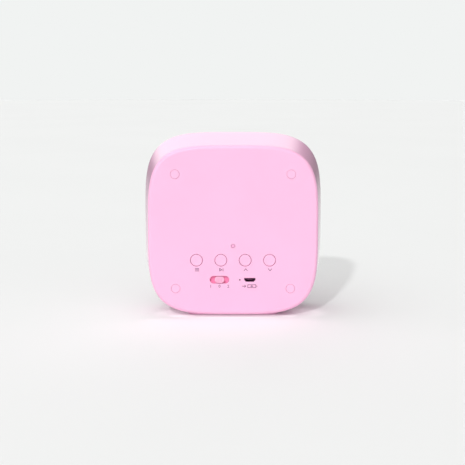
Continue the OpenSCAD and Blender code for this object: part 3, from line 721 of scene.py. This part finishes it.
# %% Signs of the buttons and the socket
MARK_Z = REAR_Z - 25.3 * MM
LABEL_Z = REAR_Z - 36.2 * MM
button_x = {name: -place.x + 0.3 * MM for name, place in button_at.items()}
marks = [
    print_mark("mark_mode", strokes(button_x["button_mode"], MARK_Z, [
        (-1.2, 0.8, 1.2, 0.8), (-1.2, 0, 1.2, 0), (-1.2, -0.8, 1.2, -0.8)])),
    print_mark("mark_play", strokes(button_x["button_play"], MARK_Z, [
        (-1.1, -0.85, -1.1, 0.85), (-1.1, 0.85, 0.35, 0), (0.35, 0, -1.1, -0.85), (1.1, -0.85, 1.1, 0.85)])),
    print_mark("mark_up", strokes(button_x["button_up"], MARK_Z, [
        (-1.05, -0.6, 0, 0.65), (0, 0.65, 1.05, -0.6)])),
    print_mark("mark_down", strokes(button_x["button_down"], MARK_Z, [
        (-1.05, 0.6, 0, -0.65), (0, -0.65, 1.05, 0.6)])),
]
cell_x = -SOCKET.x
marks.append(print_mark("mark_charge", strokes(cell_x, LABEL_Z, [
    (-4.9, 0, -2.6, 0), (-3.4, 0.75, -2.6, 0), (-3.4, -0.75, -2.6, 0),
    (-1.3, -0.95, 3.9, -0.95), (-1.3, 0.95, 3.9, 0.95), (-1.3, -0.95, -1.3, 0.95), (3.9, -0.95, 3.9, 0.95),
    (4.6, -0.35, 4.6, 0.35), (0.5, 0, 2.1, 0), (1.3, -0.55, 1.3, 0.55)])))
print("drawn signs:", len(marks))

# %% Numbers of the switch
DIGIT_SIZE, DIGIT_BOLD, DIGIT_DROP = 2.75 * MM, 0.045 * MM, 0.95 * MM
SWITCH_STEP = 5.7


def number(text, x):
    """A plain number as a thin mesh, centred on its place and read from behind the panel."""
    bpy.ops.object.select_all(action="DESELECT")
    bpy.ops.object.text_add(location=(across(x), (INK_LOW + INK_HIGH) / 2, LABEL_Z - DIGIT_DROP),
                            rotation=(math.pi / 2, 0, math.pi))
    digits = bpy.context.object
    digits.data.body = text
    digits.data.size = DIGIT_SIZE
    digits.data.align_x = "CENTER"
    digits.data.offset = DIGIT_BOLD
    digits.data.extrude = (INK_HIGH - INK_LOW) / 2
    bpy.ops.object.convert(target="MESH")
    return settle(bpy.context.object, "number")


switch_x = -KNOB.x
marks.append(print_mark("mark_switch", [number(text, switch_x + x * MM)
                                        for text, x in (("1", -SWITCH_STEP), ("0", 0), ("2", SWITCH_STEP))]))
print("printed marks:", len(marks))

# %% [markdown]
# ## Contacts and the microphone's gauze
# Two small things show inside the openings. The socket's tongue carries five gilt contacts, and
# a fine gauze disc keeps water out of the microphone's hole.

# %% Socket contacts and microphone gauze
tongue_low, tongue_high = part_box("usb_tongue")
CONTACTS, CONTACT_PITCH = 5, 0.65 * MM
contact = ring_stack("contact", [rounded(0, tongue_low.z - 0.05 * MM, 0.3 * MM, 0.1 * MM, 0.03 * MM, y, 3)
                                 for y in (tongue_low.y + 1 * MM, tongue_high.y - 0.3 * MM)])
contact_places = [(SOCKET.x + (i - (CONTACTS - 1) / 2) * CONTACT_PITCH, 0) for i in range(CONTACTS)]
contacts = join(copies(contact, contact_places), "socket_contacts")
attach(contacts, "body")

GAUZE_R = 1.16 * MM
gauze = ring_stack("mic_gauze", [circle(MIC.x, MIC.z, radius, FACE_Y - back, 48) for radius, back in (
    (GAUZE_R, 0.6 * MM), (GAUZE_R, 0.2 * MM), (GAUZE_R - 0.12 * MM, 0.1 * MM))])
smooth(gauze)
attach(gauze, "body")
print("contacts:", CONTACTS, "gauze faces:", len(gauze.data.polygons))

# %% [markdown]
# ## Finishes
# Moulded plastic isn't one colour. Its skin has a fine spark-eroded grain, a faint cloudiness
# where the melt flowed, and slightly paler edges: partly wear where hands have rubbed it, and
# partly a painted highlight. One shader group holds all three effects, so every material can use
# them with its own values.

# %% Helpers for shader nodes
def connect(tree, node, inputs):
    """Sets each named input to its value, or links it if the value is another node's output."""
    for label, value in inputs.items():
        if isinstance(value, bpy.types.NodeSocket):
            tree.links.new(value, node.inputs[label])
        else:
            node.inputs[label].default_value = value


def add(tree, kind, inputs=None, **settings):
    node = tree.nodes.new("ShaderNode" + kind)
    for key, value in settings.items():
        setattr(node, key, value)
    connect(tree, node, inputs or {})
    return node


def new_group(name, inputs):
    """A group with those inputs, which puts out a colour, a roughness and a height."""
    group = bpy.data.node_groups.new(name, "ShaderNodeTree")
    for label, value in inputs.items():
        kind = "Float" if isinstance(value, float) else {3: "Vector", 4: "Color"}[len(value)]
        socket = group.interface.new_socket(label, in_out="INPUT", socket_type="NodeSocket" + kind)
        socket.default_value = value
    for label, kind in (("Colour", "Color"), ("Roughness", "Float"), ("Height", "Float")):
        group.interface.new_socket(label, in_out="OUTPUT", socket_type="NodeSocket" + kind)
    return group, group.nodes.new("NodeGroupInput").outputs, group.nodes.new("NodeGroupOutput")


def noise(tree, place, scale, detail=3.0):
    made = add(tree, "TexNoise", {"Vector": place, "Scale": scale, "Detail": detail, "Roughness": 0.55})
    return made.outputs["Fac"]


def ramp(tree, value, low, high, start, end, **settings):
    """Maps low to high onto start to end."""
    return add(tree, "MapRange", {"Value": value, "From Min": low, "From Max": high,
                                  "To Min": start, "To Max": end}, **settings).outputs["Result"]


NOISE_LOW, NOISE_HIGH = 0.35, 0.65


def combine(tree, operation, first, second):
    return add(tree, "Math", {0: first, 1: second}, operation=operation).outputs[0]


def mix_colour(tree, factor, first, second):
    return add(tree, "Mix", {0: factor, 6: first, 7: second}, data_type="RGBA").outputs[2]


print("the middle of a noise is", NOISE_LOW, "to", NOISE_HIGH)

# %% The moulded skin, as a shader group
GREY = (0.5, 0.5, 0.5, 1.0)


def make_skin_group():
    """Colour that clouds and pales at its edges, roughness that varies, and a fine grain. The paler edges are
    partly wear and partly a painted highlight.
    """
    tree, given, made = new_group("moulded_skin", {
        "Colour": GREY, "Cloud colour": GREY, "Edge wear and highlight colour": GREY, "Cloud scale": 30.0,
        "Grain scale": 3000.0, "Smoothest": 0.35, "Roughest": 0.5})
    place = add(tree, "TexCoord").outputs["Object"]
    grain = noise(tree, place, given["Grain scale"], detail=2.0)
    cloud = ramp(tree, noise(tree, place, given["Cloud scale"]), NOISE_LOW, NOISE_HIGH, 0.0, 1.0)
    rounded_way = add(tree, "Bevel", {"Radius": 0.35 * MM}, samples=4).outputs["Normal"]
    true_way = add(tree, "NewGeometry").outputs["Normal"]
    agree = add(tree, "VectorMath", {0: rounded_way, 1: true_way}, operation="DOT_PRODUCT").outputs["Value"]
    clouded = mix_colour(tree, cloud, given["Colour"], given["Cloud colour"])
    # Paler where the bevelled normal turns from the true one: partly edge wear, partly a painted highlight.
    rubbed_and_highlit = mix_colour(tree, ramp(tree, agree, 0.995, 0.90, 0.0, 1.0), clouded, given["Edge wear and highlight colour"])
    rough = ramp(tree, grain, NOISE_LOW, NOISE_HIGH, given["Smoothest"], given["Roughest"])
    connect(tree, made, {"Colour": rubbed_and_highlit, "Roughness": rough, "Height": grain})
    return tree


SKIN = make_skin_group()
print("nodes in the moulded skin:", len(SKIN.nodes))

# %% [markdown]
# ## From a group to a material
# A material is the same few nodes each time: a group, a bump made of its height, and the shader.
# One builder makes them, and a short function for each group fills in its values. A value that
# is the same all over the surface is set on the shader's own socket.

# %% Colours and the material builder
def srgb(red, green, blue):
    """An everyday 0 to 255 colour as the linear colour that shaders use."""
    linear = [c / 255 / 12.92 if c < 10.3 else ((c / 255 + 0.055) / 1.055) ** 2.4 for c in (red, green, blue)]
    return (*linear, 1.0)


def lighter(colour, share):
    return tuple(c + (1 - c) * share for c in colour[:3]) + (1.0,)


def darker(colour, share):
    return tuple(c * (1 - share) for c in colour[:3]) + (1.0,)


def finish_from(group_tree, name, values, bump_strength, bump_depth, **plain):
    """A material made of a group. Names in plain go straight to the shader's own sockets."""
    material = bpy.data.materials.new(name)
    material.use_nodes = True
    tree = material.node_tree
    group = add(tree, "Group", values, node_tree=group_tree).outputs
    bump = add(tree, "Bump", {"Strength": bump_strength, "Distance": bump_depth, "Height": group["Height"]})
    sockets = {"Base Color": group["Colour"], "Roughness": group["Roughness"],
               "Normal": bump.outputs["Normal"]}
    sockets.update({label.replace("_", " "): value for label, value in plain.items()})
    connect(tree, tree.nodes["Principled BSDF"], sockets)
    return material


# edge sets how much paler every edge is: partly wear, partly a painted highlight.
def skin(name, colour, cloud=0.03, edge=0.12, smoothest=0.35, roughest=0.5, cloud_scale=25.0,
         grain_scale=2600.0, grain=0.04, **plain):
    values = {"Colour": colour, "Cloud colour": darker(colour, cloud), "Edge wear and highlight colour": lighter(colour, edge),
              "Cloud scale": cloud_scale, "Grain scale": grain_scale, "Smoothest": smoothest,
              "Roughest": roughest}
    return finish_from(SKIN, name, values, grain, 0.1 * MM, **plain)


def dress(piece, material):
    piece.data.materials.clear()
    piece.data.materials.append(material)


# %% [markdown]
# ## Pink plastics
# The shell, the panel and the buttons are the same pastel pink. The shell is glossier, so it has
# a clear coat, and the panel and buttons are satin. The switch's plate, down in the slot, is a
# deeper pink than its thumb piece: painted shade and pink bounce of the slot. A mask made of the
# depth tells the two apart.

# %% Pink plastics
PINK = srgb(244, 184, 217)
pink_shell = skin("pink_shell", PINK, smoothest=0.3, roughest=0.4, grain=0.01,
                  Coat_Weight=0.9, Coat_Roughness=0.08)
pink_cover = skin("pink_cover", PINK, edge=0.05, smoothest=0.4, roughest=0.52)
pink_buttons = skin("pink_buttons", PINK, edge=0.04, smoothest=0.38, roughest=0.5)
for piece in (housing, grille):
    dress(piece, pink_shell)
for piece in (panel, plugs):
    dress(piece, pink_cover)
for cap in caps:
    dress(cap, pink_buttons)
print("pieces in the body's pink:", len((housing, grille, panel, plugs)) + len(caps))

# %% Thumb piece, foot, ink and contacts
pink_knob = skin("pink_knob", srgb(244, 178, 208), edge=0.05)
tree = pink_knob.node_tree
place = add(tree, "TexCoord").outputs["Object"]
depth = add(tree, "SeparateXYZ", {"Vector": place}).outputs["Y"]
thumb_above_slot_shade = ramp(tree, depth, PLATE_FRONT + 0.95 * MM, PLATE_FRONT + 1.6 * MM, 0.0, 1.0)
group = next(node for node in tree.nodes if node.type == "GROUP")
# The plate below the thumb piece takes a deeper pink: painted shade and pink bounce of the slot.
connect(tree, tree.nodes["Principled BSDF"], {
    "Base Color": mix_colour(tree, thumb_above_slot_shade, srgb(252, 146, 190), group.outputs["Colour"])})
dress(thumb, pink_knob)
dress(foot, skin("foot_rubber", srgb(232, 170, 204), smoothest=0.6, roughest=0.8, grain=0.15))
ink = skin("grey_mauve_ink", srgb(138, 100, 130), edge=0.0, smoothest=0.5, roughest=0.65, grain_scale=6000.0)
for mark in marks:
    dress(mark, ink)
dress(contacts, skin("gilt_contacts", srgb(214, 170, 90), smoothest=0.2, roughest=0.35, Metallic=1.0))
print("materials so far:", len(bpy.data.materials))

# %% [markdown]
# ## Metals, woven cloth and the parts inside
# The parts inside show only where an opening lets them be seen, but each still gets a finish of
# its own. Sheet metal is drawn lengthwise, so its grain is a noise squeezed along one axis.
# Cloth is two crossed waves. Both are groups too, because several pieces share them.

# %% Drawn metal, as a shader group
def make_drawn_metal_group():
    """Fine lines along one axis, as rolling or drawing leaves on sheet metal."""
    tree, given, made = new_group("drawn_metal", {
        "Colour": GREY, "Tarnish colour": GREY, "Stretch": (1.0, 1.0, 12.0), "Line scale": 900.0,
        "Smoothest": 0.25, "Roughest": 0.4})
    place = add(tree, "TexCoord").outputs["Object"]
    squeeze = add(tree, "VectorMath", {0: place, 1: given["Stretch"]}, operation="MULTIPLY")
    lines = noise(tree, squeeze.outputs["Vector"], given["Line scale"], detail=4.0)
    blotch = add(tree, "TexNoise", {"Vector": place, "Scale": 120.0}).outputs["Fac"]
    tarnish = ramp(tree, blotch, NOISE_LOW, NOISE_HIGH, 0.0, 1.0)
    rough = ramp(tree, lines, NOISE_LOW, NOISE_HIGH, given["Smoothest"], given["Roughest"])
    connect(tree, made, {"Colour": mix_colour(tree, tarnish, given["Colour"], given["Tarnish colour"]),
                         "Roughness": rough, "Height": lines})
    return tree


DRAWN_METAL = make_drawn_metal_group()
print("nodes in the drawn metal:", len(DRAWN_METAL.nodes))

# %% Woven cloth, as a shader group
def make_cloth_group():
    """A plain weave: two sets of ribs at right angles, seen along the frame's Y. The valleys take a darker
    colour, a painted shade.
    """
    tree, given, made = new_group("woven_cloth", {
        "Colour": GREY, "Valley painted shade colour": GREY, "Threads per metre": 1600.0})
    place = add(tree, "TexCoord").outputs["Object"]
    along = add(tree, "SeparateXYZ", {"Vector": place}).outputs
    ribs = []
    for axis in ("X", "Z"):
        turns = combine(tree, "MULTIPLY", along[axis], given["Threads per metre"])
        ribs.append(combine(tree, "PINGPONG", turns, 1.0))
    over = combine(tree, "MULTIPLY", *ribs)
    # The colour darkens towards the weave's valleys: painted shade.
    connect(tree, made, {"Colour": mix_colour(tree, over, given["Valley painted shade colour"], given["Colour"]),
                         "Roughness": ramp(tree, over, 0.0, 1.0, 0.95, 0.75), "Height": over})
    return tree


CLOTH = make_cloth_group()
print("nodes in the woven cloth:", len(CLOTH.nodes))

# %% Metal and cloth materials
def drawn_metal(name, colour, smoothest=0.25, roughest=0.42, tarnish=0.18, stretch=(1.0, 1.0, 12.0)):
    values = {"Colour": colour, "Tarnish colour": darker(colour, tarnish), "Stretch": stretch,
              "Smoothest": smoothest, "Roughest": roughest}
    return finish_from(DRAWN_METAL, name, values, 0.12, 0.05 * MM, Metallic=1.0)


# The darker valley colour is painted shade in the weave's valleys.
def cloth(name, colour, valley_shade, threads):
    values = {"Colour": colour, "Valley painted shade colour": valley_shade, "Threads per metre": threads}
    return finish_from(CLOTH, name, values, 0.5, 0.1 * MM)


print("groups:", [group.name for group in bpy.data.node_groups])

# %% [markdown]
# ## Finishes of the inner parts
# Each node of the frame keeps its exact solid and takes a finish by its kind of stuff: zinc
# screws, a green board, black pressed steel, pressed paper, enamelled copper, and so on.

# %% Finishes of the inner parts
def paint(material, *node_names):
    for node in node_names:
        dress(NODES[node], material)


seal_black = skin("black_silicone", srgb(38, 36, 40), smoothest=0.6, roughest=0.8, grain=0.2, edge=0.02)
moulded_black = skin("moulded_black", srgb(34, 32, 36), smoothest=0.4, roughest=0.6, edge=0.04)
resin = skin("chip_resin", srgb(30, 30, 33), edge=0.03, smoothest=0.5, roughest=0.7, grain=0.3,
             grain_scale=9000.0)
ivory = skin("ivory_nylon", srgb(238, 233, 214), smoothest=0.35, roughest=0.5)
enamelled_copper = drawn_metal("enamelled_copper", srgb(200, 118, 66), stretch=(1.0, 60.0, 1.0))
paint(seal_black, "cover_gasket", "mic_boot")
paint(skin("gasket_foam", srgb(48, 46, 50), cloud=0.3, smoothest=0.8, roughest=0.95, grain=0.8,
           grain_scale=5000.0), "driver_gasket")
paint(moulded_black, "tact_plunger_mode", "tact_plunger_play", "tact_plunger_up", "tact_plunger_down",
      "slide_switch_lever", "battery_tray")
# The tongue's dark plum is painted shade inside the socket, tinted with painted pink bounce.
paint(skin("tongue_with_painted_shade_and_pink_bounce", srgb(92, 26, 74), smoothest=0.5, roughest=0.7, edge=0.02), "usb_tongue")
paint(resin, "amplifier_chip", "power_inductor")
paint(ivory, "battery_connector", "speaker_connector")
paint(drawn_metal("bright_zinc", srgb(212, 214, 218)), "cover_screws", "board_screws", "tray_screws",
      "driver_screws", "driver_top_plate", "driver_yoke")
paint(drawn_metal("tinned_sheet", srgb(200, 202, 206)), "tact_switch_bodies", "slide_switch_body",
      "radio_module")
# The shell's dark mauve is painted shade and a painted reflection of the pink panel, not nickel's own colour.
paint(drawn_metal("nickel_shell_with_painted_shade_and_pink_reflection", srgb(136, 92, 124), stretch=(12.0, 1.0, 1.0)), "usb_socket")
paint(drawn_metal("drawn_can", srgb(205, 208, 212), stretch=(1.0, 20.0, 1.0)), "filter_capacitors",
      "microphone")
paint(skin("frosted_resin", srgb(244, 240, 222), smoothest=0.2, roughest=0.35, Coat_Weight=0.4), "charge_led")
# The light pipe is coloured near black with a plum tint: painted shade of its pinhole.
paint(skin("light_pipe_painted_pinhole_shade", srgb(62, 20, 46), smoothest=0.3, roughest=0.45, grain=0.01, Coat_Weight=0.2),
      "charge_light_pipe")
paint(skin("board_mask", srgb(38, 110, 70), cloud=0.25, cloud_scale=400.0, smoothest=0.25, roughest=0.4,
           Coat_Weight=0.3), "main_board")
paint(skin("shrink_film", srgb(112, 102, 178), cloud=0.1, smoothest=0.15, roughest=0.3, Coat_Weight=0.3),
      "battery_cell")
paint(skin("lead_sleeve", srgb(160, 36, 36), smoothest=0.45, roughest=0.6), "battery_leads", "speaker_leads")
paint(skin("black_stove_paint", srgb(40, 40, 43), smoothest=0.35, roughest=0.5, grain=0.2, Coat_Weight=0.2),
      "driver_basket")
butyl = skin("butyl_rubber", srgb(36, 36, 38), edge=0.0, smoothest=0.45, roughest=0.6, grain=0.1)
for sector in surround:
    dress(sector, butyl)
paint(skin("pressed_pulp", srgb(84, 84, 88), cloud=0.35, cloud_scale=500.0, smoothest=0.75, roughest=0.95,
           grain=0.9, grain_scale=1500.0), "driver_cone")
paint(skin("moulded_dome", srgb(50, 50, 53), smoothest=0.3, roughest=0.45), "driver_dust_cap")
paint(skin("amber_film", srgb(190, 130, 60), smoothest=0.2, roughest=0.35, Coat_Weight=0.4), "coil_former")
paint(enamelled_copper, "coil_winding")
dipped_cotton = cloth("dipped_cotton", srgb(220, 188, 110), srgb(150, 112, 50), 3000.0)
for sector in spider:
    dress(sector, dipped_cotton)
paint(cloth("membrane", srgb(62, 56, 62), srgb(14, 12, 14), 2600.0), "acoustic_mesh")
dress(gauze, cloth("pink_gauze", srgb(246, 190, 222), srgb(230, 164, 202), 2600.0))
paint(skin("sintered_ferrite", srgb(70, 70, 73), cloud=0.2, smoothest=0.5, roughest=0.75, grain=0.5,
           grain_scale=3500.0), "driver_magnet")
paint(skin("phenolic_strip", srgb(150, 98, 54), cloud=0.2, smoothest=0.4, roughest=0.6), "driver_terminals")
print("materials:", len(bpy.data.materials))

# %% [markdown]
# ## Camera
# A long lens far away, a little above the middle of the panel, keeps the outline square with
# only a narrow band of the top wall in view. The camera is aimed by an ordinary look-at turn.

# %% Camera
TARGET = Vector((0.36 * MM, REAR_Y, REAR_Z - 0.85 * MM))
DISTANCE, ELEVATION = 0.680, math.radians(8.8)
camera_data = bpy.data.cameras.new("camera")
camera_data.sensor_width, camera_data.lens = 36, 81.6
camera_data.clip_start, camera_data.clip_end = 0.01, 20
camera = bpy.data.objects.new("camera", camera_data)
bpy.context.scene.collection.objects.link(camera)
camera.location = TARGET + Vector((0, DISTANCE * math.cos(ELEVATION), DISTANCE * math.sin(ELEVATION)))
camera.rotation_euler = (TARGET - camera.location).to_track_quat("-Z", "Y").to_euler()
bpy.context.scene.camera = camera
print("camera at", [round(c, 3) for c in camera.location])

# %% [markdown]
# ## Floor and backdrop
# The object stands on a large pale disc. Far away all round it stands a plain pale wall that
# glows as brightly as the lit floor looks, so no horizon shows from any side. The wall is seen
# by the camera only: it neither lights the object nor shows in its gloss.

# %% Floor and backdrop
STAGE_R, WALL_SINK, WALL_HEIGHT = 5.0, 0.01, 8
bpy.ops.object.select_all(action="DESELECT")
bpy.ops.mesh.primitive_circle_add(vertices=128, radius=STAGE_R, fill_type="NGON")
bpy.context.object.location.z = -0.05 * MM
floor = settle(bpy.context.object, "floor")
dress(floor, skin("pale_paper", srgb(228, 229, 228), cloud=0.01, edge=0.0, smoothest=0.85, roughest=0.95,
                  grain=0.0, cloud_scale=3.0, Specular_IOR_Level=0.1))
floor.visible_glossy = False

bpy.ops.object.select_all(action="DESELECT")
bpy.ops.mesh.primitive_circle_add(vertices=128, radius=STAGE_R * 0.999, fill_type="NOTHING")
backdrop = bpy.context.object
bpy.ops.object.mode_set(mode="EDIT")
bpy.ops.mesh.select_all(action="SELECT")
bpy.ops.transform.translate(value=(0, 0, -WALL_SINK))
bpy.ops.mesh.extrude_region_move(TRANSFORM_OT_translate={"value": (0, 0, WALL_HEIGHT)})
bpy.ops.object.mode_set(mode="OBJECT")
backdrop = settle(backdrop, "backdrop")
glow = skin("glowing_wall", srgb(20, 20, 20), cloud=0.0, edge=0.0, smoothest=0.9, roughest=1.0, grain=0.0,
            Specular_IOR_Level=0.0, Emission_Color=srgb(241, 243, 242), Emission_Strength=1.0)
wall_colour = glow.node_tree.nodes["Principled BSDF"].inputs["Base Color"]
wall_colour.default_value = (0, 0, 0, 1)
glow.node_tree.links.remove(wall_colour.links[0])
dress(backdrop, glow)
for way in ("visible_diffuse", "visible_glossy", "visible_shadow", "visible_transmission"):
    setattr(backdrop, way, False)
print("stage radius", STAGE_R, "m")

# %% [markdown]
# ## Light
# Four broad soft lamps are painted on the sky: overhead, before the panel, before the front and
# below. Each is a patch whose brightness fades smoothly with the direction. A small sun gives
# the cast shadow. A bounce card and three weak oval lamps stand for light thrown back by the
# pale floor, and they show neither to the camera nor in gloss.

# %% Sky
SKY_AXIS = Vector((0.30, 0.10, 0.95)).normalized()
SKY_DARK, FRONT_FILL, OVERHEAD = 0.16, 0.58, 1.38
world = bpy.data.worlds.new("studio")
bpy.context.scene.world = world
world.use_nodes = True
tree = world.node_tree
way = add(tree, "TexCoord").outputs["Generated"]


def soft_lamp(axis, low, high, base, peak):
    """Brightness that rises smoothly from base to peak as the direction nears the axis."""
    aim = add(tree, "VectorMath", {0: way, 1: axis}, operation="DOT_PRODUCT").outputs["Value"]
    return ramp(tree, aim, low, high, base, peak, interpolation_type="SMOOTHSTEP")


lamps = [soft_lamp(SKY_AXIS, 0.55, 0.95, SKY_DARK, SKY_DARK + OVERHEAD),
         soft_lamp((0, 1, 0), 0.0, 0.9, 0.0, FRONT_FILL),
         soft_lamp(Vector((0.13, -0.86, 0.47)).normalized(), 0.86, 0.95, 0.0, 1.05),
         soft_lamp((0, 0, -1), 0.0, 0.2, 0.0, 0.75)]
total = lamps[0]
for lamp in lamps[1:]:
    total = combine(tree, "ADD", total, lamp)
connect(tree, tree.nodes["Background"], {"Color": (1.0, 1.0, 1.0, 1.0), "Strength": total})

print("lamps on the sky:", len(lamps))

# %% Sun and area lamps
def hang(name, data, place, turn):
    lamp = bpy.data.objects.new(name, data)
    bpy.context.scene.collection.objects.link(lamp)
    lamp.location = place
    lamp.rotation_euler = turn
    return lamp


def area_lamp(name, shape, place, turn, width, height, energy, colour):
    data = bpy.data.lights.new(name, "AREA")
    data.shape, data.size, data.size_y = shape, width, height
    data.energy, data.color = energy, colour
    lamp = hang(name, data, place, turn)
    lamp.visible_camera = False
    lamp.visible_glossy = False


KEY_WAY = Vector((0.46, 1.6, 1.0)).normalized()
key_data = bpy.data.lights.new("key", "SUN")
key_data.energy, key_data.angle = 1.24, math.radians(2.5)
hang("key", key_data, KEY_WAY * 2, KEY_WAY.to_track_quat("Z", "Y").to_euler())

FORWARD, DOWN = Vector((0, -1, 0)).to_track_quat("Z", "Y").to_euler(), (0, 0, 0)
CARD_PINK, FLOOR_WHITE = (1.0, 0.68, 0.88), (1.0, 0.94, 0.98)
area_lamp("bounce_card", "RECTANGLE", (0, REAR_Y + 0.5 * MM, 30 * MM), FORWARD,
          110 * MM, 50 * MM, 0.010, CARD_PINK)
for name, x, back, height, width, depth, energy in (
        ("middle_fill", 0, 4.5, 0.9, 84, 12, 0.00085),
        ("left_fill", 38, 12, 3, 26, 20, 0.00035),
        ("right_fill", -44, 14, 5, 34, 28, 0.0008)):
    place = (x * MM, REAR_Y - back * MM, height * MM)
    area_lamp(name, "ELLIPSE", place, DOWN, width * MM, depth * MM, energy, FLOOR_WHITE)
print("lamps:", [lamp.name for lamp in bpy.data.lights])

# %% Plain colour transform
view = bpy.context.scene.view_settings
view.view_transform = "Standard"
view.look = "None"
view.exposure = 0.0
view.gamma = 1.0
print("view transform:", view.view_transform)
